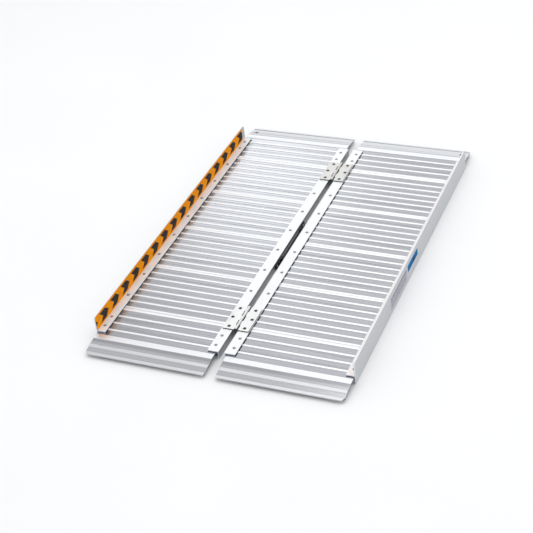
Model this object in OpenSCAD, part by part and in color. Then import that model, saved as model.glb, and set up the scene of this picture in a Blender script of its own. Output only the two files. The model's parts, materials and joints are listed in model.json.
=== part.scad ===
// Portable wheelchair ramp: two riveted plank decks joined by a pair of centre hinges.
// +X is to the right, +Y runs up the ramp, +Z is up. Rest pose: laid open and flat.

/* [Overall] */
// Width over both outer curbs
ramp_w = 740; // [700:1:780]
// Clear gap between the two centre webs
gap_w = 16.4; // [15.6:0.2:17.2]
// Length of the centre rails and rail flanges
rail_l = 1030; // [1026:1:1033]
// Length of the curb plates
curb_l = 1034; // [1028:1:1040]

/* [Rails] */
// Height of the outer curb plates
curb_h = 68; // [55:1:85]
// Wall thickness of curb plates, webs and flanges
wall_t = 3; // [2.5:0.1:3.2]
// Radius of the curb plate's upper corners
curb_r = 8; // [2:1:14]
// Top of the flanges that hold the planks down
flange_z = 24; // [23.9:0.1:24.1]
// Underside of the lower flanges
foot_h = 4; // [3.5:0.1:4.2]
// Width of the side rail's flanges, curb plate included
side_flange_w = 27; // [25:1:30]
// Width of the centre rail's flanges, web included
centre_flange_w = 31.4; // [31:0.1:33]

/* [Planks] */
// Length of ramp that each standard plank covers
plank_p = 200; // [200:1:200]
// Joint gap between neighbouring planks
joint_g = 0.4; // [0.2:0.1:0.8]
// Distance from the ramp's centre line to the planks' inner ends
plank_in = 15.8; // [15:0.1:16.4]
// Clearance between the planks' outer ends and the curb plate
end_g = 1; // [0.5:0.1:1.5]
// Height of the grip ribs above the plank skin
rib_h = 1.35; // [1:0.05:2.9]
// Width of a grip rib at its foot
rib_w = 8.5; // [5:0.5:8.5]
// Number of grip ribs on a standard plank
rib_n = 8; // [6:1:8]
// Height of the fine ridge between two ribs
ridge_h = 0.4; // [0.2:0.1:0.9]
// Thickness of the plank's upper skin
skin_t = 2.5; // [2:0.1:3]
// Thickness of the plank's lower skin and inner webs
web_t = 2; // [1.5:0.1:2.4]

/* [Lips] */
// Reach of each lip beyond its last plank joint
lip_l = 198; // [194:1:202]
// Spacing of the grip ribs on the lip planks
lip_rib_p = 30; // [28:1:31]
// Downward slope of the lip plate
lip_a = 9.6; // [7:0.1:10.5]
// Thickness of the lip plate
lip_t = 3; // [2.6:0.1:3.6]
// Height of the broad bands across the lip plate
band_h = 1.2; // [1:0.1:2]
// Width of the band over the bend
knee_w = 21; // [16:1:22]
// Width of the band half way down the lip plate
band_w = 12; // [8:1:16]
// Width of the raised nose
nose_w = 9; // [7:1:12]
// Radius of the lip's outer corners
lip_out_r = 14; // [4:1:18]
// Radius of the lip's inner corners
lip_in_r = 6; // [3:1:10]
// Diameter of the fixing hole in each back lip
fix_d = 6.5; // [5:0.1:7]
// Fixing hole's distance from the ramp's centre line
fix_x = 345; // [335:1:350]
// Fixing hole's distance from the ramp's middle
fix_y = 564; // [560:1:568]

/* [Fasteners] */
// Spacing of the rivets along the flanges
rivet_p = 100; // [100:1:100]
// Distance of the last rivet from the ramp's middle
rivet_end = 490; // [485:1:500]
// Diameter of a rivet's domed head
rivet_head_d = 9; // [8:0.5:9.5]
// Height of a rivet's domed head
rivet_head_h = 2; // [1:0.1:2]
// Diameter of a rivet's body
rivet_d = 4; // [3:0.1:4.5]
// Distance of the inner rivet rows from the centre line
rivet_x = 26; // [25:0.5:28]
// Distance of the outer rivet rows from the curb's outer face
rivet_edge = 13; // [11:0.5:15]

/* [Hinges] */
// Length of the hinge leaves
leaf_l = 100; // [96:1:104]
// Width over both opened leaves
leaf_w = 75; // [73:1:77]
// Thickness of the leaves
leaf_t = 2.5; // [2:0.1:2.6]
// Outer diameter of the hinge knuckles
knuckle_d = 8; // [7:0.1:8.4]
// Diameter of the hinge pin
pin_d = 4; // [3:0.1:4.6]
// Number of knuckles on each hinge
knuckle_n = 5; // [5:2:7]
// Gap between neighbouring knuckles
knuckle_g = 0.4; // [0.3:0.05:0.6]
// Middle of the front hinge
front_hinge_y = -371; // [-373:1:-369]
// Middle of the back hinge
back_hinge_y = 378; // [376:1:380]
// Distance of the leaf's end screws from the hinge's middle
screw_dy = 39; // [37:0.5:40]
// Distance of the leaf's end screws from the centre line
screw_x = 22.7; // [22:0.1:24]
// Distance of the leaf's middle screw from the centre line
screw_mid_x = 28; // [26:0.1:30]
// Diameter of the hinge screw heads
screw_head_d = 9.4; // [8:0.1:9.6]

/* [Handles] */
// Length of each strap handle
handle_l = 232; // [220:1:250]
// Middle of the handles along the ramp
handle_y = -5; // [-10:1:10]
// Length of each moulded end cap
cap_l = 50; // [46:1:55]
// Length of the raised collar that grips the strap
collar_l = 13; // [11:0.5:15]
// Height of the end caps
cap_h = 18; // [16:0.5:19]
// How far the collars stand off the web
cap_t = 6.8; // [6:0.1:7]
// Thickness of the end caps' screwed base
base_t = 3.2; // [2.6:0.1:3.6]
// Middle height of the handle
handle_z = 12; // [11:0.5:13]
// Width of the strap
strap_h = 14; // [12:0.5:15]
// Thickness of the strap
strap_t = 3; // [2:0.1:3.5]

/* [Trim] */
// Height of the reflective tape
tape_h = 42; // [30:1:42]
// Thickness of the reflective tape
tape_t = 0.4; // [0.2:0.1:0.6]
// Length of the reflective tape
tape_l = 1013; // [990:1:1020]
// Length of the product label
brand_l = 90; // [80:1:94]
// Height of the product label
brand_h = 21; // [15:1:30]
// Length of the information label
info_l = 143; // [120:1:146]
// Height of the information label
info_h = 38; // [30:1:44]
// Thickness of the labels
label_t = 0.2; // [0.1:0.1:0.4]

/* [Hidden] */
$fn = 64;
eps = 0.05;
over = 1;
half_w = ramp_w / 2;
web_x = gap_w / 2;
plank_out = half_w - wall_t - end_g;
plank_w = plank_out - plank_in;
plank_z0 = foot_h + wall_t + eps;
skin_z = flange_z - wall_t - eps - rib_h;
plank_h = skin_z - plank_z0;
chamber_h = plank_h - skin_t - web_t;
rib_spread = 1.088;
rib_p = plank_p / rib_n * rib_spread;
rib_edge = (plank_p - rib_p * (rib_n - 1)) / 2;
rib_top = 0.65;
ridge_w = 2;
chamber_n = 3;
lip_y = plank_p * 2;
lip_rib_0 = 8;
lip_rib_n = 4;
lip_box_l = 112;
bend_u = 143;
nose_r = (lip_t + band_h) / 2;
nose_n = (band_h - lip_t) / 2;
nose_s = (lip_l - nose_r - bend_u - nose_n * sin(lip_a)) / cos(lip_a);
band_s = 25;
band_slant = 1.2;
fix_s = (fix_y - lip_y - bend_u) / cos(lip_a);
spot_r = 7;
rivet_xo = half_w - rivet_edge;
rivet_tail_d = 6.4;
rivet_tail_h = 2.5;
mandrel_d = 2.2;
mandrel_h = 0.8;
fit_c = 0.05;
leaf_z = flange_z;
axis_z = leaf_z + leaf_t;
knuckle_l = leaf_l / knuckle_n;
knuckle_bore_d = pin_d + 0.1;
knuckle_clear = 3;
pin_head_d = pin_d + 2;
pin_head_t = 1.2;
screw_d = 4;
screw_cone_h = 2;
screw_drive_d = 3.6;
screw_drive_h = 0.9;
slot_w = 0.9;
cap_screw_d = 3.4;
cap_screw_head_d = 6.4;
cap_screw_head_h = 0.8;
cap_screw_in = 32;
cap_screw_out = 13;
cap_r = 8;
cap_ramp = 8;
strap_grip = 11;
tape_z = 25;
brand_y = -75;
brand_z = 29;
info_y = -228;
info_z = 12;
steel = [0.78, 0.78, 0.77];
alu = [0.86, 0.87, 0.88];
alu_cool = [0.78, 0.79, 0.81];
black = [0.08, 0.08, 0.09];
strap_grey = [0.22, 0.22, 0.23];
orange = [0.94, 0.58, 0.05];
blue = [0.08, 0.42, 0.66];
paper = [0.80, 0.80, 0.84];

// Distances of the rivets from the ramp's middle, one sign
centre_rivet_ys = [
  rivet_p / 2, rivet_p * 1.5, rivet_p * 2.5, rivet_p * 4.5, rivet_end
];
side_rivet_ys = concat(centre_rivet_ys, [rivet_p * 3.5]);

// Puts its children on the left half as they are drawn on the right one
module on_left() {
  mirror([1, 0, 0]) children();
}

// Copies its children in front of and behind the middle
module both_ends() {
  children();
  mirror([0, 1, 0]) children();
}

// Turns a drawing of length and height into a bar that runs along X
module bar_x(w) {
  rotate([90, 0, 90]) linear_extrude(height = w) children();
}

// Turns a drawing of width and height into a bar that runs along Y
module bar_y(l) {
  translate([0, l / 2, 0]) rotate([90, 0, 0]) linear_extrude(height = l) children();
}

// ---- fastener places -------------------------------------------------------

module at_centre_rivets() {
  both_ends() for (y = centre_rivet_ys) translate([rivet_x, y, flange_z]) children();
}

module at_side_rivets() {
  both_ends() for (y = side_rivet_ys) translate([rivet_xo, y, flange_z]) children();
}

module at_hinge_screws() {
  for (y = [front_hinge_y, back_hinge_y]) {
    translate([screw_x, y - screw_dy, axis_z]) children();
    translate([screw_mid_x, y, axis_z]) children();
    translate([screw_x, y + screw_dy, axis_z]) children();
  }
}

module at_handle() {
  translate([0, handle_y, 0]) children();
}

// Screw heads of one end cap, at the back end of a handle centred on y 0
module at_cap_screws() {
  for (u = [cap_screw_in, cap_screw_out])
    translate([web_x - base_t, handle_l / 2 - u, handle_z]) rotate([0, 90, 0]) children();
}

// Holes through a flange and the plank skin below it
module fastener_holes() {
  at_centre_rivets() translate([0, 0, skin_z - skin_t - over - flange_z])
    cylinder(d = rivet_d + 2 * fit_c, h = flange_z);
  at_side_rivets() translate([0, 0, skin_z - skin_t - over - flange_z])
    cylinder(d = rivet_d + 2 * fit_c, h = flange_z);
  at_hinge_screws() translate([0, 0, skin_z - skin_t - over - axis_z])
    cylinder(d = screw_d + 2 * fit_c, h = flange_z);
}

// ---- deck planks -----------------------------------------------------------

// One grip rib, its foot on the plank skin
module rib(w, h) {
  polygon([
    [-w / 2, -eps], [w / 2, -eps], [w / 2 * rib_top, h], [-w / 2 * rib_top, h]
  ]);
}

// Hollow box of a plank between two lengths, with its inner webs
module plank_box(l, n) {
  cell = (l - web_t * (n + 1)) / n;
  difference() {
    square([l, plank_h]);
    for (i = [0 : n - 1])
      translate([web_t + i * (cell + web_t), web_t]) square([cell, chamber_h]);
  }
}

// Section of a standard plank, from one joint to the next
module plank_section() {
  translate([joint_g / 2, plank_z0]) plank_box(plank_p - joint_g, chamber_n);
  for (i = [0 : rib_n - 1]) translate([rib_edge + i * rib_p, skin_z]) rib(rib_w, rib_h);
  for (i = [0 : rib_n - 2])
    translate([rib_edge + (i + 0.5) * rib_p, skin_z]) rib(ridge_w, ridge_h);
}

// Standard plank of the right half that starts at y0
module plank(y0) {
  difference() {
    translate([plank_in, y0, 0]) bar_x(plank_w) plank_section();
    intersection() {
      fastener_holes();
      translate([0, y0, 0]) cube([half_w, plank_p, flange_z]);
    }
  }
}

// Broad raised band across the lip plate, centred on the origin
module band(w, h) {
  polygon([
    [-w / 2, -eps], [w / 2, -eps], [w / 2 - band_slant, h], [-w / 2 + band_slant, h]
  ]);
}

// Section of the lip plate, level to the bend and sloping from there to the nose
module lip_blade() {
  translate([lip_box_l - web_t / 2, skin_z - lip_t])
    square([bend_u - lip_box_l + web_t / 2, lip_t]);
  translate([bend_u - knee_w / 2, skin_z]) band(knee_w, rib_h);
  translate([bend_u, skin_z]) rotate(-lip_a) {
    translate([0, -lip_t]) square([nose_s, lip_t]);
    translate([band_s, 0]) band(band_w, band_h);
    translate([nose_s - nose_w + nose_r, -eps]) square([nose_w - nose_r, band_h + eps]);
    translate([nose_s, nose_n]) circle(r = nose_r);
  }
}

module lip_section() {
  translate([joint_g / 2, plank_z0]) plank_box(lip_box_l - joint_g / 2, 2);
  for (i = [0 : lip_rib_n - 1])
    translate([lip_rib_0 + i * lip_rib_p, skin_z]) rib(rib_w, rib_h);
  for (i = [0 : lip_rib_n - 2])
    translate([lip_rib_0 + (i + 0.5) * lip_rib_p, skin_z]) rib(ridge_w, ridge_h);
  lip_blade();
}

// Cutter that rounds an upright corner, its tip at the origin
module corner_cutter(r) {
  translate([0, 0, -over]) difference() {
    translate([-over, -over, 0]) cube([r + over, r + over, curb_h]);
    translate([r, r, -over]) cylinder(r = r, h = curb_h + 2 * over);
  }
}

// Fixing hole and its spot face, square to the sloping plate
module fixing_hole() {
  translate([fix_x, lip_y + bend_u, skin_z]) rotate([-lip_a, 0, 0]) translate([0, fix_s, 0]) {
    translate([0, 0, -lip_t - over]) cylinder(d = fix_d, h = lip_t + 2 * over);
    cylinder(r = spot_r, h = band_h + over);
  }
}

// Lip plank of the right half at the back end, before any hole is cut
module lip_blank() {
  difference() {
    translate([plank_in, lip_y, 0]) bar_x(plank_w) lip_section();
    translate([plank_in, lip_y + lip_l, 0]) mirror([0, 1, 0]) corner_cutter(lip_in_r);
    translate([plank_out, lip_y + lip_l, 0]) rotate(180) corner_cutter(lip_out_r);
  }
}

module back_lip() {
  difference() {
    lip_blank();
    intersection() {
      fastener_holes();
      translate([0, lip_y, 0]) cube([half_w, lip_l, flange_z]);
    }
    fixing_hole();
  }
}

module front_lip() {
  difference() {
    mirror([0, 1, 0]) lip_blank();
    intersection() {
      fastener_holes();
      translate([0, -lip_y - lip_l, 0]) cube([half_w, lip_l, flange_z]);
    }
  }
}

// ---- rails -----------------------------------------------------------------

// Curb plate in side view, its upper corners rounded
module curb_plate_shape() {
  translate([-curb_l / 2, 0]) square([curb_l, curb_h - curb_r]);
  translate([-curb_l / 2 + curb_r, 0]) square([curb_l - 2 * curb_r, curb_h]);
  for (s = [-1, 1]) translate([s * (curb_l / 2 - curb_r), curb_h - curb_r]) circle(r = curb_r);
}

module side_rail() {
  difference() {
    union() {
      translate([half_w - wall_t, 0, 0]) bar_x(wall_t) curb_plate_shape();
      for (z = [foot_h, flange_z - wall_t])
        translate([half_w - side_flange_w, -rail_l / 2, z])
          cube([side_flange_w - wall_t / 2, rail_l, wall_t]);
    }
    intersection() {
      fastener_holes();
      translate([half_w - side_flange_w, -rail_l / 2, flange_z - wall_t - over])
        cube([side_flange_w, rail_l, flange_z]);
    }
  }
}

module centre_rail() {
  difference() {
    union() {
      translate([web_x, -rail_l / 2, 0]) cube([wall_t, rail_l, flange_z]);
      for (z = [foot_h, flange_z - wall_t])
        translate([web_x, -rail_l / 2, z]) cube([centre_flange_w, rail_l, wall_t]);
    }
    intersection() {
      fastener_holes();
      translate([web_x, -rail_l / 2, flange_z - wall_t - over])
        cube([centre_flange_w, rail_l, flange_z]);
    }
    at_handle() both_ends() at_cap_screws()
      cylinder(d = cap_screw_d + 2 * fit_c, h = base_t + wall_t + over);
  }
}

// ---- fasteners -------------------------------------------------------------

// Blind rivet whose head sits on the flange at z 0
module rivet() {
  head_r = rivet_head_d / 2;
  dome_r = (head_r * head_r + rivet_head_h * rivet_head_h) / (2 * rivet_head_h);
  tail_z = skin_z - skin_t - flange_z - eps;
  difference() {
    union() {
      intersection() {
        translate([0, 0, rivet_head_h - dome_r]) sphere(r = dome_r);
        cylinder(r = head_r + over, h = rivet_head_h + over);
      }
      translate([0, 0, tail_z - eps]) cylinder(d = rivet_d, h = -tail_z + 2 * eps);
      translate([0, 0, tail_z - rivet_tail_h]) cylinder(d = rivet_tail_d, h = rivet_tail_h);
    }
    translate([0, 0, rivet_head_h - mandrel_h]) cylinder(d = mandrel_d, h = over);
  }
}

// Countersunk cross-slot screw whose head is flush with z 0
module hinge_screw() {
  tail = axis_z - skin_z + skin_t + over;
  difference() {
    union() {
      translate([0, 0, -screw_cone_h])
        cylinder(d1 = screw_d, d2 = screw_head_d, h = screw_cone_h);
      translate([0, 0, -tail]) cylinder(d = screw_d, h = tail - over);
    }
    for (a = [0, 90]) rotate(a) translate([-screw_drive_d / 2, -slot_w / 2, -screw_drive_h])
      cube([screw_drive_d, slot_w, over]);
  }
}

module hinge_screws() {
  at_hinge_screws() hinge_screw();
}

// ---- hinges ----------------------------------------------------------------

// Right-hand leaf of a hinge whose middle is at y 0; it owns every second knuckle from first
module leaf(first) {
  reach = knuckle_d / 2 + knuckle_clear;
  difference() {
    union() {
      translate([reach, -leaf_l / 2, leaf_z]) cube([leaf_w / 2 - reach, leaf_l, leaf_t]);
      for (i = [first : 2 : knuckle_n - 1]) {
        translate([0, -leaf_l / 2 + i * knuckle_l + knuckle_g / 2, axis_z])
          rotate([-90, 0, 0]) cylinder(d = knuckle_d, h = knuckle_l - knuckle_g);
        translate([0, -leaf_l / 2 + i * knuckle_l + knuckle_g / 2, leaf_z])
          cube([reach + over, knuckle_l - knuckle_g, leaf_t]);
      }
    }
    translate([0, -leaf_l / 2 - over, axis_z]) rotate([-90, 0, 0])
      cylinder(d = knuckle_bore_d, h = leaf_l + 2 * over);
    for (p = [[screw_x, -screw_dy], [screw_mid_x, 0], [screw_x, screw_dy]])
      translate([p[0], p[1], axis_z]) {
        translate([0, 0, -leaf_t - over]) cylinder(d = screw_d + 2 * fit_c, h = leaf_t + over);
        translate([0, 0, -screw_cone_h - fit_c]) cylinder(
          d1 = screw_d + 2 * fit_c, d2 = screw_head_d + 2 * fit_c, h = screw_cone_h + fit_c);
        translate([0, 0, -eps]) cylinder(d = screw_head_d + 2 * fit_c, h = over);
      }
  }
}

// Pin with a small head at each end
module hinge_pin() {
  translate([0, -leaf_l / 2, axis_z]) rotate([-90, 0, 0]) cylinder(d = pin_d, h = leaf_l);
  for (s = [-1, 1]) translate([0, s * (leaf_l / 2 + pin_head_t / 2 - fit_c), axis_z])
    rotate([-90, 0, 0]) cylinder(d = pin_head_d, h = pin_head_t, center = true);
}

// ---- handles ---------------------------------------------------------------

// Side view of an end cap, its far end rounded
module cap_shape() {
  c_y = handle_l / 2 - cap_l;
  translate([c_y, handle_z - cap_h / 2]) square([cap_l - cap_r, cap_h]);
  translate([c_y, handle_z - cap_h / 2 + cap_r]) square([cap_l, cap_h - 2 * cap_r]);
  for (s = [-1, 1]) translate([handle_l / 2 - cap_r, handle_z + s * (cap_h / 2 - cap_r)])
    circle(r = cap_r);
}

// Top view of an end cap: raised collar, short ramp and flat screwed base
module cap_profile() {
  c_y = handle_l / 2 - cap_l;
  polygon([
    [web_x - eps, c_y], [web_x - cap_t, c_y], [web_x - cap_t, c_y + collar_l],
    [web_x - base_t, c_y + collar_l + cap_ramp], [web_x - base_t, handle_l / 2],
    [web_x - eps, handle_l / 2]
  ]);
}

// Moulded cap that holds the back end of the right strap
module handle_cap() {
  c_y = handle_l / 2 - cap_l;
  difference() {
    intersection() {
      translate([web_x - cap_t, 0, 0]) bar_x(cap_t) cap_shape();
      linear_extrude(height = flange_z) cap_profile();
    }
    translate([web_x - (cap_t + strap_t) / 2 - fit_c, c_y - over,
      handle_z - strap_h / 2 - fit_c])
      cube([strap_t + 2 * fit_c, strap_grip + over + fit_c, strap_h + 2 * fit_c]);
    at_cap_screws() {
      translate([0, 0, -over]) cylinder(d = cap_screw_d + 2 * fit_c, h = cap_t);
      translate([0, 0, -over])
        cylinder(d = cap_screw_head_d + 2 * fit_c, h = cap_screw_head_h + over + fit_c);
    }
  }
}

module handle_strap() {
  strap_l = handle_l - 2 * cap_l + 2 * strap_grip;
  translate([web_x - (cap_t + strap_t) / 2, -strap_l / 2, handle_z - strap_h / 2])
    cube([strap_t, strap_l, strap_h]);
}

module handle_screws() {
  both_ends() at_cap_screws() difference() {
    union() {
      cylinder(d = cap_screw_head_d, h = cap_screw_head_h);
      cylinder(d = cap_screw_d, h = base_t + wall_t);
    }
    translate([-cap_screw_head_d / 2, -slot_w / 2, -over])
      cube([cap_screw_head_d, slot_w, over + cap_screw_head_h / 2]);
  }
}

// ---- trim ------------------------------------------------------------------

module reflective_tape() {
  intersection() {
    translate([half_w - wall_t - tape_t - eps, -rail_l / 2, tape_z])
      cube([tape_t, tape_l, tape_h]);
    translate([half_w - 2 * wall_t, 0, 0]) bar_x(wall_t) curb_plate_shape();
  }
}

module outer_label(y, z, l, h) {
  translate([half_w + eps / 2, y, z]) cube([label_t, l, h]);
}

// ---- nodes -----------------------------------------------------------------

module left_front_lip() { color(alu) on_left() front_lip(); }
module left_plank_1() { color(alu) on_left() plank(-2 * plank_p); }
module left_plank_2() { color(alu) on_left() plank(-plank_p); }
module left_plank_3() { color(alu) on_left() plank(0); }
module left_plank_4() { color(alu) on_left() plank(plank_p); }
module left_back_lip() { color(alu) on_left() back_lip(); }
module right_front_lip() { color(alu_cool) front_lip(); }
module right_plank_1() { color(alu_cool) plank(-2 * plank_p); }
module right_plank_2() { color(alu_cool) plank(-plank_p); }
module right_plank_3() { color(alu_cool) plank(0); }
module right_plank_4() { color(alu_cool) plank(plank_p); }
module right_back_lip() { color(alu_cool) back_lip(); }
module left_side_rail() { color(alu) on_left() side_rail(); }
module right_side_rail() { color(alu_cool) side_rail(); }
module left_centre_rail() { color(alu) on_left() centre_rail(); }
module right_centre_rail() { color(alu_cool) centre_rail(); }
module left_side_rivets() { color(steel) on_left() at_side_rivets() rivet(); }
module right_side_rivets() { color(steel) at_side_rivets() rivet(); }
module left_centre_rivets() { color(steel) on_left() at_centre_rivets() rivet(); }
module right_centre_rivets() { color(steel) at_centre_rivets() rivet(); }
module left_reflective_tape() { color(orange) on_left() reflective_tape(); }
module right_reflective_tape() { color(orange) reflective_tape(); }
module front_hinge_left_leaf() {
  color(steel) translate([0, front_hinge_y, 0]) on_left() leaf(0);
}
module front_hinge_right_leaf() {
  color(steel) translate([0, front_hinge_y, 0]) leaf(1);
}
module front_hinge_pin() {
  color(black) translate([0, front_hinge_y, 0]) hinge_pin();
}
module back_hinge_left_leaf() {
  color(steel) translate([0, back_hinge_y, 0]) on_left() leaf(0);
}
module back_hinge_right_leaf() {
  color(steel) translate([0, back_hinge_y, 0]) leaf(1);
}
module back_hinge_pin() {
  color(black) translate([0, back_hinge_y, 0]) hinge_pin();
}
module left_hinge_screws() { color(black) on_left() hinge_screws(); }
module right_hinge_screws() { color(black) hinge_screws(); }
module left_handle_strap() { color(strap_grey) on_left() at_handle() handle_strap(); }
module left_handle_front_cap() {
  color(black) on_left() at_handle() mirror([0, 1, 0]) handle_cap();
}
module left_handle_back_cap() { color(black) on_left() at_handle() handle_cap(); }
module left_handle_screws() { color(steel) on_left() at_handle() handle_screws(); }
module right_handle_strap() { color(strap_grey) at_handle() handle_strap(); }
module right_handle_front_cap() { color(black) at_handle() mirror([0, 1, 0]) handle_cap(); }
module right_handle_back_cap() { color(black) at_handle() handle_cap(); }
module right_handle_screws() { color(steel) at_handle() handle_screws(); }
module product_label() { color(blue) outer_label(brand_y, brand_z, brand_l, brand_h); }
module info_label() { color(paper) outer_label(info_y, info_z, info_l, info_h); }

left_front_lip();
left_plank_1();
left_plank_2();
left_plank_3();
left_plank_4();
left_back_lip();
right_front_lip();
right_plank_1();
right_plank_2();
right_plank_3();
right_plank_4();
right_back_lip();
left_side_rail();
right_side_rail();
left_centre_rail();
right_centre_rail();
left_side_rivets();
right_side_rivets();
left_centre_rivets();
right_centre_rivets();
left_reflective_tape();
right_reflective_tape();
front_hinge_left_leaf();
front_hinge_right_leaf();
front_hinge_pin();
back_hinge_left_leaf();
back_hinge_right_leaf();
back_hinge_pin();
left_hinge_screws();
right_hinge_screws();
left_handle_strap();
left_handle_front_cap();
left_handle_back_cap();
left_handle_screws();
right_handle_strap();
right_handle_front_cap();
right_handle_back_cap();
right_handle_screws();
product_label();
info_label();
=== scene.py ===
"""Looks of the folding wheelchair ramp: camera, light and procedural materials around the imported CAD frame."""

import json
import math

import bpy
from mathutils import Matrix, Vector


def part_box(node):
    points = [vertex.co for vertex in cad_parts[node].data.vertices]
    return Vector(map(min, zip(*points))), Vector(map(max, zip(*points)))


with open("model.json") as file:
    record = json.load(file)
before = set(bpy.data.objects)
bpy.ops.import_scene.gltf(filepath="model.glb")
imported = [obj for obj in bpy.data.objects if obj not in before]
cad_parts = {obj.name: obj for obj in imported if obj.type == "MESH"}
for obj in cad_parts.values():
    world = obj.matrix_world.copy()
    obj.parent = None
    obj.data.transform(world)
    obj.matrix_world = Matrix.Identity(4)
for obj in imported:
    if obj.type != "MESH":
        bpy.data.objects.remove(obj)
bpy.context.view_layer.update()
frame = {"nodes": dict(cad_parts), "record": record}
cad = frame["nodes"]

MM = 0.001

# ---- places taken from the frame --------------------------------------------

RIB_HEIGHT, LIP_LENGTH, PLANK_PITCH = 1.35, 55, 200
RIB_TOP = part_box("left_plank_1")[1].z
SKIN_Z = RIB_TOP - RIB_HEIGHT * MM
TIP_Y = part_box("left_back_lip")[1].y
BEND_Y = TIP_Y - LIP_LENGTH * MM
LIP_SLOPE = math.radians(9.6)
MOUNTS = {m["name"]: m for m in frame["record"]["mounts"]}
FIXING_HOLE = Vector(MOUNTS["right_fixing_hole"]["pos_m"])

# ---- camera -----------------------------------------------------------------

CAMERA_AT = Vector((1.33316, -2.84994, 2.19799))
CAMERA_TURN, CAMERA_DROP, CAMERA_ROLL = (math.radians(a) for a in (26.599, 35.592, 7.720))
LENS = 89.654


def make_camera():
    """Looks down the ramp from the front right, with the slight roll that the photograph has."""
    ahead = Vector((
        -math.sin(CAMERA_TURN) * math.cos(CAMERA_DROP),
        math.cos(CAMERA_TURN) * math.cos(CAMERA_DROP),
        -math.sin(CAMERA_DROP),
    ))
    level = Vector((math.cos(CAMERA_TURN), math.sin(CAMERA_TURN), 0))
    below = ahead.cross(level)
    right = level * math.cos(CAMERA_ROLL) + below * math.sin(CAMERA_ROLL)
    down = below * math.cos(CAMERA_ROLL) - level * math.sin(CAMERA_ROLL)
    data = bpy.data.cameras.new("camera")
    data.sensor_width = 36
    data.lens = LENS
    data.clip_end = 60
    camera = bpy.data.objects.new("camera", data)
    bpy.context.scene.collection.objects.link(camera)
    turn = Matrix((right, -down, -ahead)).transposed()
    camera.matrix_world = Matrix.Translation(CAMERA_AT) @ turn.to_4x4()
    bpy.context.scene.camera = camera


# ---- node helpers -----------------------------------------------------------


class Net:
    """Small wrapper that builds one material's node tree."""

    def __init__(self, name):
        self.material = bpy.data.materials.new(name)
        self.material.use_nodes = True
        self.tree = self.material.node_tree
        self.tree.nodes.clear()
        self.out = self.tree.nodes.new("ShaderNodeOutputMaterial")
        self.shader = self.tree.nodes.new("ShaderNodeBsdfPrincipled")
        self.tree.links.new(self.shader.outputs["BSDF"], self.out.inputs["Surface"])
        self.coord = self.tree.nodes.new("ShaderNodeTexCoord")
        split = self.tree.nodes.new("ShaderNodeSeparateXYZ")
        self.tree.links.new(self.coord.outputs["Object"], split.inputs[0])
        self.x, self.y, self.z = (self.math("DIVIDE", split.outputs[i], MM) for i in range(3))

    def put(self, socket, value):
        """Links a node's output to the socket, or writes a plain value on it."""
        if isinstance(value, bpy.types.NodeSocket):
            self.tree.links.new(value, socket)
        elif isinstance(value, (tuple, list)) and len(value) == 3 and socket.type == "RGBA":
            socket.default_value = (*value, 1)
        else:
            socket.default_value = value

    def math(self, operation, a, b=None, c=None, clamp=False):
        node = self.tree.nodes.new("ShaderNodeMath")
        node.operation = operation
        node.use_clamp = clamp
        for i, value in enumerate((a, b, c)):
            if value is not None:
                self.put(node.inputs[i], value)
        return node.outputs[0]

    def step(self, value, low, high, a=0.0, b=1.0):
        """Smooth step from a to b as value goes from low to high."""
        node = self.tree.nodes.new("ShaderNodeMapRange")
        node.interpolation_type = "SMOOTHSTEP"
        for name, v in (("Value", value), ("From Min", low), ("From Max", high), ("To Min", a), ("To Max", b)):
            self.put(node.inputs[name], v)
        return node.outputs[0]

    def mix(self, factor, a, b, blend="MIX"):
        """Colour a mixed with colour b."""
        node = self.tree.nodes.new("ShaderNodeMix")
        node.data_type = "RGBA"
        node.blend_type = blend
        self.put(node.inputs[0], factor)
        self.put(node.inputs[6], a)
        self.put(node.inputs[7], b)
        return node.outputs[2]

    def vector(self, x, y, z):
        node = self.tree.nodes.new("ShaderNodeCombineXYZ")
        for i, value in enumerate((x, y, z)):
            self.put(node.inputs[i], value)
        return node.outputs[0]

    def stretched(self, kx, ky, kz):
        """Position in millimetres, each axis times its own factor."""
        return self.vector(*(self.math("MULTIPLY", v, k) for v, k in ((self.x, kx), (self.y, ky), (self.z, kz))))

    def noise(self, where, detail=3.0, rough=0.5, scale=1.0):
        node = self.tree.nodes.new("ShaderNodeTexNoise")
        self.put(node.inputs["Vector"], where)
        node.inputs["Scale"].default_value = scale
        node.inputs["Detail"].default_value = detail
        node.inputs["Roughness"].default_value = rough
        return node.outputs["Fac"]

    def cells(self, where, scale=1.0, feature="F1"):
        node = self.tree.nodes.new("ShaderNodeTexVoronoi")
        node.feature = feature
        self.put(node.inputs["Vector"], where)
        node.inputs["Scale"].default_value = scale
        return node.outputs["Distance"]

    def normal(self, axis):
        """Object-space normal along one axis, 0 to 2 for X to Z."""
        split = self.tree.nodes.new("ShaderNodeSeparateXYZ")
        self.tree.links.new(self.coord.outputs["Normal"], split.inputs[0])
        return split.outputs[axis]

    def bump(self, height, depth, strength=1.0):
        """Bump whose full height is depth millimetres."""
        node = self.tree.nodes.new("ShaderNodeBump")
        node.inputs["Strength"].default_value = strength
        node.inputs["Distance"].default_value = depth * MM
        self.put(node.inputs["Height"], height)
        self.put(self.shader.inputs["Normal"], node.outputs[0])

    def finish(self, color, roughness, metallic=0.0, **sockets):
        self.put(self.shader.inputs["Base Color"], color)
        self.put(self.shader.inputs["Roughness"], roughness)
        self.put(self.shader.inputs["Metallic"], metallic)
        for name, value in sockets.items():
            self.put(self.shader.inputs[name.replace("_", " ")], value)
        return self.material


# ---- materials --------------------------------------------------------------


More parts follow.
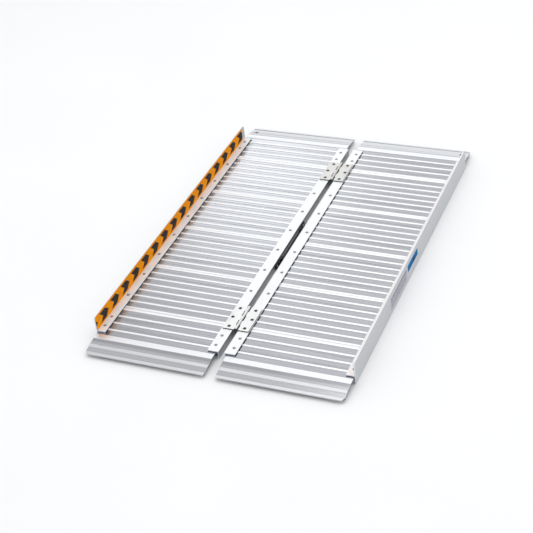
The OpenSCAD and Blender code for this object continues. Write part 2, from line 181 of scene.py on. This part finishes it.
def deck_aluminium(name, trough, crest, knee, lip, band, end_and_hole_shade):
    """Mill-finish plank, drawn along X.

    Painted light and shade: rib crests, plank joints and the bend before each lip are painted bright as highlights
    against darker troughs, the sloping lips get tones painted for how light falls on them, end faces are painted dark
    as shade, and a ring round the fixing hole is painted dark as shade and dirt.
    """
    n = Net(name)
    across, along = n.math("ABSOLUTE", n.x), n.math("ABSOLUTE", n.y)
    past_bend = n.math("MAXIMUM", n.math("SUBTRACT", along, BEND_Y / MM), 0)
    drop = n.math("MULTIPLY", past_bend, math.tan(LIP_SLOPE))
    height = n.math("SUBTRACT", n.math("ADD", n.z, drop), SKIN_Z / MM)
    on_lip = n.step(past_bend, 6, 14)
    half_pitch = PLANK_PITCH / 2
    in_plank = n.math("FLOORED_MODULO", n.math("ADD", n.y, half_pitch), PLANK_PITCH)
    from_joint = n.math("ABSOLUTE", n.math("SUBTRACT", in_plank, half_pitch))
    # painted highlight: the joint grooves between planks take the bright rib colour where they would lie in shade
    joint_band = n.math("MULTIPLY", n.step(from_joint, 4, 5, 0.85, 0), n.step(height, -1.0, -0.3))
    on_rib = n.math("MAXIMUM", n.step(height, 0.5, 0.95), joint_band)
    drawn = n.noise(n.stretched(0.012, 1.9, 1.9), detail=4.0, rough=0.6)
    cloud = n.noise(n.stretched(0.011, 0.016, 0.016), detail=3.0)
    trough_and_lip_tone = n.mix(n.step(cloud, 0.3, 0.7), trough, tuple(v * 0.93 for v in trough))
    trough_and_lip_tone = n.mix(n.step(drawn, 0.35, 0.75), trough_and_lip_tone, tuple(v * 1.10 for v in trough))
    # the sloping lips take their own lighter trough tone here and a dimmer rib tone below: tones painted for how
    # light falls on the slope
    trough_and_lip_tone = n.mix(on_lip, trough_and_lip_tone, lip)
    # painted highlight: the bend before each lip is brighter than the rib crests
    bright = n.mix(n.step(along, 514, 518), crest, knee)
    bright = n.mix(on_lip, bright, band)
    bright = n.mix(n.math("MULTIPLY", n.step(drawn, 0.3, 0.7), 0.12), bright, trough_and_lip_tone)
    scuff = n.step(n.noise(n.stretched(0.05, 0.35, 0.35), detail=5.0, rough=0.65), 0.58, 0.72)
    bright = n.mix(n.math("MULTIPLY", scuff, 0.3), bright, trough)
    # ribs take the bright tone, the rest the trough tone: a painted highlight on the crests and painted shade in the
    # troughs
    color = n.mix(on_rib, trough_and_lip_tone, bright)
    # a dark ring round the fixing hole, wider than the hole: partly painted shade inside the hole, partly dirt
    hole_y = n.math("SUBTRACT", along, FIXING_HOLE.y / MM)
    hole_x = n.math("SUBTRACT", across, FIXING_HOLE.x / MM)
    squares = n.math("ADD", n.math("MULTIPLY", hole_x, hole_x), n.math("MULTIPLY", hole_y, hole_y))
    near_hole = n.math("SQRT", squares)
    hole_shade_and_dirt = n.math("MULTIPLY", n.step(near_hole, 4.0, 4.8, 1, 0), n.step(n.y, 0, 1))
    # painted shade: the plank end faces, the edges of the lips among them, are dark
    plank_end = n.step(n.math("ABSOLUTE", n.normal(0)), 0.6, 0.9)
    color = n.mix(n.math("MAXIMUM", hole_shade_and_dirt, plank_end), color, end_and_hole_shade)
    n.bump(n.math("ADD", drawn, n.math("MULTIPLY", scuff, 0.3)), 0.02, 0.4)
    rough = n.math("ADD", n.step(on_rib, 0, 1, 0.14, 0.38), n.math("MULTIPLY", drawn, 0.06))
    # hazier beside the curbs, so that the tape's reflection is blurred
    haze = n.math("MULTIPLY", n.step(across, 318, 342, 0.0, 0.12), n.step(along, 500, 515, 1, 0))
    return n.finish(color, n.math("ADD", rough, haze), 1.0)


def rail_aluminium(name, face, edge, top, metallic, roughness):
    """Mill-finish rail, drawn along Y. Painted light and shade: flange tops painted bright as lit from above, upright
    faces darker, flange side edges painted near black as the shadow line beneath them, and ends given a bluish tint
    for their shade.
    """
    n = Net(name)
    drawn = n.noise(n.stretched(1.7, 0.010, 1.7), detail=4.0, rough=0.6)
    cloud = n.noise(n.stretched(0.02, 0.012, 0.02), detail=3.0)
    color = n.mix(n.math("MULTIPLY", n.step(drawn, 0.4, 0.7), 0.12), face, tuple(v * 0.55 for v in face))
    # painted light and shade: upward faces take the bright top colour, upright faces stay darker
    color = n.mix(n.step(n.normal(2), 0.5, 0.9), color, top)
    side = n.math("ABSOLUTE", n.x)
    between = n.math("MULTIPLY", n.step(side, 15, 16), n.step(side, 350, 352, 1, 0))
    # painted shadow: the flange side edges go near black, and less metallic, to draw the shadow line under the flange
    painted_shadow_edge = n.math("MULTIPLY", n.step(n.z, 20, 21), between)
    painted_shadow_edge = n.math("MULTIPLY", painted_shadow_edge, n.step(n.math("ABSOLUTE", n.normal(0)), 0.6, 0.9))
    color = n.mix(painted_shadow_edge, color, tuple(v * 0.12 for v in edge))
    # end faces take the bluish end tint, painted for the shade they show
    color = n.mix(n.step(n.math("ABSOLUTE", n.normal(1)), 0.6, 0.9), color, edge)
    color = n.mix(n.math("MULTIPLY", n.step(cloud, 0.45, 0.75), 0.08), color, tuple(v * 0.75 for v in face))
    n.bump(drawn, 0.05, 0.5)
    rough = n.math("ADD", roughness, n.math("MULTIPLY", drawn, 0.14))
    return n.finish(color, rough, n.step(painted_shadow_edge, 0, 1, metallic, 0.15))


def hinge_steel(name, color, edge):
    """Zinc-plated pressed steel, brushed along Y, with a faint tarnish; faces that don't face up, the leaf edges and
    knuckle sides, are painted dark as shade.
    """
    n = Net(name)
    brushed = n.noise(n.stretched(2.6, 0.03, 2.6), detail=4.0, rough=0.6)
    tarnish = n.noise(n.stretched(0.05, 0.05, 0.05), detail=4.0, rough=0.6)
    tone = n.mix(n.math("MULTIPLY", n.step(tarnish, 0.4, 0.7), 0.25), color, tuple(v * 0.82 for v in color))
    tone = n.mix(n.math("MULTIPLY", brushed, 0.12), tone, (0.35, 0.34, 0.33))
    # painted shade: faces that don't face up, the leaf edges and knuckle sides, take the dark edge colour
    tone = n.mix(n.step(n.normal(2), 0.2, 0.6), edge, tone)
    n.bump(brushed, 0.04, 0.5)
    return n.finish(tone, n.math("ADD", 0.32, n.math("MULTIPLY", brushed, 0.18)), 1.0)


def rivet_metal(name, color, rim_shade):
    """Satin rivet heads with small dents; the sloping rim of each dome is painted dark as shade."""
    n = Net(name)
    grain = n.noise(n.stretched(0.9, 0.9, 0.9), detail=4.0)
    n.bump(grain, 0.08, 0.4)
    tone = n.mix(n.math("MULTIPLY", n.step(grain, 0.4, 0.7), 0.3), color, tuple(v * 0.7 for v in color))
    # painted shade: the sloping rim of each dome takes the dark rim colour
    tone = n.mix(n.step(n.normal(2), 0.80, 0.97), rim_shade, tone)
    return n.finish(tone, n.math("ADD", 0.3, n.math("MULTIPLY", grain, 0.2)), 0.9)


def screw_zinc(name, color):
    """Bright zinc screw heads, lightly frosted."""
    n = Net(name)
    grain = n.noise(n.stretched(0.9, 0.9, 0.9), detail=4.0)
    n.bump(grain, 0.05, 0.3)
    tone = n.mix(n.step(grain, 0.5, 0.8), color, tuple(v * 0.8 for v in color))
    return n.finish(tone, n.math("ADD", 0.3, n.math("MULTIPLY", grain, 0.2)), 0.3)


def dark_metal(name, color, roughness):
    """Near-black steel, rubbed a little lighter in places."""
    n = Net(name)
    grain = n.noise(n.stretched(0.7, 0.7, 0.7), detail=4.0)
    n.bump(grain, 0.05, 0.35)
    tone = n.mix(n.step(grain, 0.55, 0.85), color, tuple(v * 1.8 for v in color))
    return n.finish(tone, n.math("ADD", roughness, n.math("MULTIPLY", grain, 0.15)), 0.6)


def cap_plastic(name, color):
    """Matt moulded plastic with a fine spark-eroded grain."""
    n = Net(name)
    grain = n.cells(n.stretched(1, 1, 1), scale=2.4)
    n.bump(grain, 0.12, 0.35)
    smudge = n.noise(n.stretched(0.06, 0.06, 0.06), detail=4.0)
    return n.finish(color, n.math("ADD", 0.42, n.math("MULTIPLY", smudge, 0.2)), 0.0)


def strap_rubber(name, color):
    """Moulded rubber strap with fine lengthwise ridges and dusty wear."""
    n = Net(name)
    ridge = n.math("SINE", n.math("MULTIPLY", n.z, 2 * math.pi / 1.75))
    dust = n.noise(n.stretched(0.12, 0.03, 0.12), detail=5.0, rough=0.65)
    grain = n.noise(n.stretched(1.6, 1.6, 1.6), detail=3.0)
    n.bump(n.math("ADD", n.math("MULTIPLY", ridge, 0.5), n.math("MULTIPLY", grain, 0.25)), 0.25, 0.6)
    tone = n.mix(n.step(dust, 0.35, 0.75), color, tuple(v * 1.7 for v in color))
    return n.finish(tone, n.math("ADD", 0.5, n.math("MULTIPLY", dust, 0.2)), 0.0)


def chevron_tape(name):
    """Retroreflective film: orange ground, dark chevrons pointing up the ramp, honeycomb cells."""
    n = Net(name)
    pitch, band, lean = 63.3, 33.0, 17.0
    low, high, first = 29.8, 61.1, -492.3
    middle, half = (low + high) / 2, (high - low) / 2
    off = n.math("ABSOLUTE", n.math("SUBTRACT", n.z, middle))
    lead = n.math("MULTIPLY", n.math("SUBTRACT", 1.0, n.math("DIVIDE", off, half)), lean)
    along = n.math("SUBTRACT", n.math("SUBTRACT", n.y, first), lead)
    phase = n.math("FLOORED_MODULO", along, pitch)
    inside = n.math("MULTIPLY", n.step(phase, 0.0, 0.5), n.step(phase, band - 0.5, band, 1.0, 0.0))
    dark = n.math("MULTIPLY", inside, n.step(off, half - 0.4, half, 1.0, 0.0))
    size = 3.4
    gaps = []
    for shift in (0.0, 0.5):
        u = n.math("SUBTRACT", n.math("FRACT", n.math("ADD", n.math("DIVIDE", n.y, size), shift)), 0.5)
        w = n.math("SUBTRACT", n.math("FRACT", n.math("ADD", n.math("DIVIDE", n.z, size * math.sqrt(3)), shift)), 0.5)
        w = n.math("MULTIPLY", w, math.sqrt(3))
        gaps.append(n.math("SQRT", n.math("ADD", n.math("MULTIPLY", u, u), n.math("MULTIPLY", w, w))))
    wall = n.step(n.math("MINIMUM", *gaps), 0.40, 0.52)
    cloud = n.noise(n.stretched(0.0, 0.09, 0.09), detail=4.0, rough=0.6)
    orange = n.mix(n.step(cloud, 0.3, 0.7), (0.88, 0.27, 0.001), (0.96, 0.34, 0.002))
    orange = n.mix(n.math("MULTIPLY", wall, 0.25), orange, (0.98, 0.45, 0.02))
    ink = n.mix(n.step(cloud, 0.3, 0.7), (0.020, 0.020, 0.021), (0.040, 0.041, 0.044))
    ink = n.mix(n.math("MULTIPLY", wall, 0.35), ink, (0.085, 0.085, 0.09))
    n.bump(wall, 0.08, 0.4)
    rough = n.math("ADD", 0.5, n.math("MULTIPLY", cloud, 0.15))
    return n.finish(n.mix(dark, orange, ink), rough, 0.0, Specular_IOR_Level=0.05)


def printed_label(name, ground, panels, rows=None):
    """Printed film: a ground colour, flat panels (y0, y1, z0, z1, colour) in millimetres and unreadable grey rows."""
    n = Net(name)
    cloud = n.noise(n.stretched(0.0, 0.05, 0.09), detail=4.0)
    color = n.mix(n.step(cloud, 0.3, 0.7), ground, tuple(v * 0.9 for v in ground))

    def inside(y0, y1, z0, z1):
        across = n.math("MULTIPLY", n.step(n.y, y0, y0 + 0.4), n.step(n.y, y1 - 0.4, y1, 1.0, 0.0))
        upright = n.math("MULTIPLY", n.step(n.z, z0, z0 + 0.4), n.step(n.z, z1 - 0.4, z1, 1.0, 0.0))
        return n.math("MULTIPLY", across, upright)

    for *where, ink in panels:
        color = n.mix(inside(*where), color, ink)
    if rows:
        *where, pitch, ink = rows
        line = n.step(n.math("SINE", n.math("MULTIPLY", n.z, 2 * math.pi / pitch)), 0.0, 0.5)
        broken = n.step(n.noise(n.stretched(0.0, 0.16, 1 / pitch), detail=2.0), 0.40, 0.50)
        color = n.mix(n.math("MULTIPLY", n.math("MULTIPLY", line, broken), inside(*where)), color, ink)
    n.bump(n.noise(n.stretched(0.3, 0.3, 0.3), detail=3.0), 0.06, 0.3)
    return n.finish(color, n.math("ADD", 0.4, n.math("MULTIPLY", cloud, 0.15)), 0.0, Specular_IOR_Level=0.02)


# ---- dressing the CAD nodes -------------------------------------------------


def paint(material, *names):
    for name in names:
        mesh = cad[name].data
        mesh.materials.clear()
        mesh.materials.append(material)


def soften(width, *names, segments=2):
    """Breaks the sharp CAD edges by a small bevel; straight extrusions stay flat shaded."""
    for name in names:
        o = cad[name]
        weld = o.modifiers.new("weld", "WELD")
        weld.merge_threshold = 0.002 * MM
        bevel = o.modifiers.new("bevel", "BEVEL")
        bevel.width = width * MM
        bevel.segments = segments
        bevel.limit_method = "ANGLE"
        bevel.angle_limit = math.radians(35)
        bevel.use_clamp_overlap = False
        for face in o.data.polygons:
            face.use_smooth = False


def dress():
    halves = ("left", "right")
    planks = {h: [f"{h}_front_lip", *(f"{h}_plank_{i}" for i in (1, 2, 3, 4)), f"{h}_back_lip"] for h in halves}
    # deck colours: trough tone, painted crest highlight, painted lip-bend highlight, lip trough and lip rib tones
    # painted for the slope, painted end and hole shade
    deck = deck_aluminium("deck", (0.375, 0.38, 0.398), (0.895, 0.90, 0.91), (0.80, 0.805, 0.82),
                          (0.50, 0.505, 0.52), (0.62, 0.625, 0.64),
                          (0.10, 0.10, 0.11))
    paint(deck, *planks["left"], *planks["right"])
    # a bluish end tint painted for the ends' shade, and bright flange tops painted as lit from above
    painted_end_tint, painted_top_light = (0.80, 0.87, 0.98), (0.81, 0.815, 0.82)
    side = rail_aluminium("rail_side", (0.56, 0.57, 0.59), painted_end_tint, painted_top_light, 0.35, 0.48)
    paint(side, "left_side_rail", "right_side_rail")
    # painted shade: the centre rails are a darker copy of the side rail finish, for the narrow gap between the halves
    centre = rail_aluminium("rail_centre_gap_shaded", (0.47, 0.475, 0.48), painted_end_tint, painted_top_light, 1.0, 0.38)
    paint(centre, "left_centre_rail", "right_centre_rail")
    rivets = rivet_metal("rivets", (0.34, 0.345, 0.36), (0.20, 0.20, 0.21))
    paint(rivets, *(f"{h}_{k}_rivets" for h in halves for k in ("side", "centre")))
    # second colour of each hinge: the painted shade on its edges and knuckle sides
    front = hinge_steel("hinge_front", (0.80, 0.80, 0.795), (0.08, 0.08, 0.08))
    paint(front, "front_hinge_left_leaf", "front_hinge_right_leaf")
    back = hinge_steel("hinge_back", (0.66, 0.655, 0.63), (0.06, 0.06, 0.055))
    paint(back, "back_hinge_left_leaf", "back_hinge_right_leaf")
    paint(dark_metal("hinge_pins", (0.05, 0.05, 0.055), 0.35), "front_hinge_pin", "back_hinge_pin")
    paint(dark_metal("hinge_screws", (0.045, 0.045, 0.05), 0.4), "left_hinge_screws", "right_hinge_screws")
    paint(screw_zinc("cap_screws", (0.92, 0.92, 0.90)), "left_handle_screws", "right_handle_screws")
    caps = [f"{h}_handle_{k}_cap" for h in halves for k in ("front", "back")]
    paint(cap_plastic("caps", (0.012, 0.012, 0.013)), *caps)
    paint(strap_rubber("straps", (0.115, 0.115, 0.115)), "left_handle_strap", "right_handle_strap")
    paint(chevron_tape("tape"), "left_reflective_tape", "right_reflective_tape")
    blue = printed_label("label_blue", (0.002, 0.15, 0.36), [(-30, -14, 33, 46, (0.004, 0.05, 0.12))])
    paint(blue, "product_label")
    grey = printed_label("label_grey", (0.50, 0.49, 0.55), [(-224, -89, 43.5, 47, (0.12, 0.11, 0.14))],
                         (-222, -92, 15, 42, 4.2, (0.20, 0.19, 0.23)))
    paint(grey, "info_label")
    soften(0.35, *planks["left"], *planks["right"])
    soften(0.35, *(f"{e}_hinge_{h}_leaf" for e in ("front", "back") for h in halves))
    soften(0.8, *caps, segments=3)
    soften(0.8, *(f"{h}_handle_strap" for h in halves), segments=3)


# ---- stage ------------------------------------------------------------------


def make_floor():
    """Plain pale floor with a barely visible mottling."""
    mesh = bpy.data.meshes.new("floor")
    mesh.from_pydata([(-12, -12, 0), (12, -12, 0), (12, 12, 0), (-12, 12, 0)], [], [(0, 1, 2, 3)])
    floor = bpy.data.objects.new("floor", mesh)
    bpy.context.scene.collection.objects.link(floor)
    n = Net("floor")
    grain = n.noise(n.stretched(0.002, 0.002, 0.002), detail=2.0)
    tone = n.mix(grain, (0.86, 0.86, 0.86), (0.90, 0.90, 0.90))
    mesh.materials.append(n.finish(tone, 0.9, 0.0, Specular_IOR_Level=0.1))
    floor.location.z = -0.0002


def area_light(name, at, target, size, watts, color=(1, 1, 1)):
    data = bpy.data.lights.new(name, "AREA")
    data.shape = "RECTANGLE"
    data.size, data.size_y = size
    data.energy = watts
    data.color = color
    lamp = bpy.data.objects.new(name, data)
    bpy.context.scene.collection.objects.link(lamp)
    lamp.location = at
    lamp.rotation_euler = (Vector(target) - Vector(at)).to_track_quat("-Z", "Y").to_euler()


def direction(turn, lift):
    """Unit vector from its angle to +X and its height over the floor, in degrees."""
    turn, lift = math.radians(turn), math.radians(lift)
    return math.cos(turn) * math.cos(lift), math.sin(turn) * math.cos(lift), math.sin(lift)


def make_light():
    """An even white room with three soft boxes behind the ramp, far away, and a real one overhead."""
    world = bpy.data.worlds.new("studio")
    bpy.context.scene.world = world
    world.use_nodes = True
    nodes, links = world.node_tree.nodes, world.node_tree.links
    sky = nodes["Background"]
    sky.inputs["Color"].default_value = (0.975, 0.985, 1.0, 1)
    where = nodes.new("ShaderNodeTexCoord").outputs["Generated"]
    strength = 0.90
    # direction, degrees to the soft edge, degrees to the full core, strength added
    glows = (
        (direction(116.5, 30.5), 5.5, 1, 1.5),
        (direction(104, 38), 21, 9, 0.42),
        (direction(108.7, 12.8), 11, 5, 0.60),
    )
    for toward, edge, core, power in glows:
        dot = nodes.new("ShaderNodeVectorMath")
        dot.operation = "DOT_PRODUCT"
        links.new(where, dot.inputs[0])
        dot.inputs[1].default_value = toward
        glow = nodes.new("ShaderNodeMapRange")
        glow.interpolation_type = "SMOOTHSTEP"
        links.new(dot.outputs["Value"], glow.inputs["Value"])
        glow.inputs["From Min"].default_value = math.cos(math.radians(edge))
        glow.inputs["From Max"].default_value = math.cos(math.radians(core))
        glow.inputs["To Max"].default_value = power
        total = nodes.new("ShaderNodeMath")
        links.new(glow.outputs["Result"], total.inputs[0])
        if isinstance(strength, float):
            total.inputs[1].default_value = strength
        else:
            links.new(strength, total.inputs[1])
        strength = total.outputs[0]
    links.new(strength, sky.inputs["Strength"])
    area_light("top_box", (0.5, 0.5, 4.5), (0, 0, 0), (4.0, 4.0), 62)
    view = bpy.context.scene.view_settings
    view.view_transform = "Standard"
    view.look = "None"


make_camera()
dress()
make_floor()
make_light()
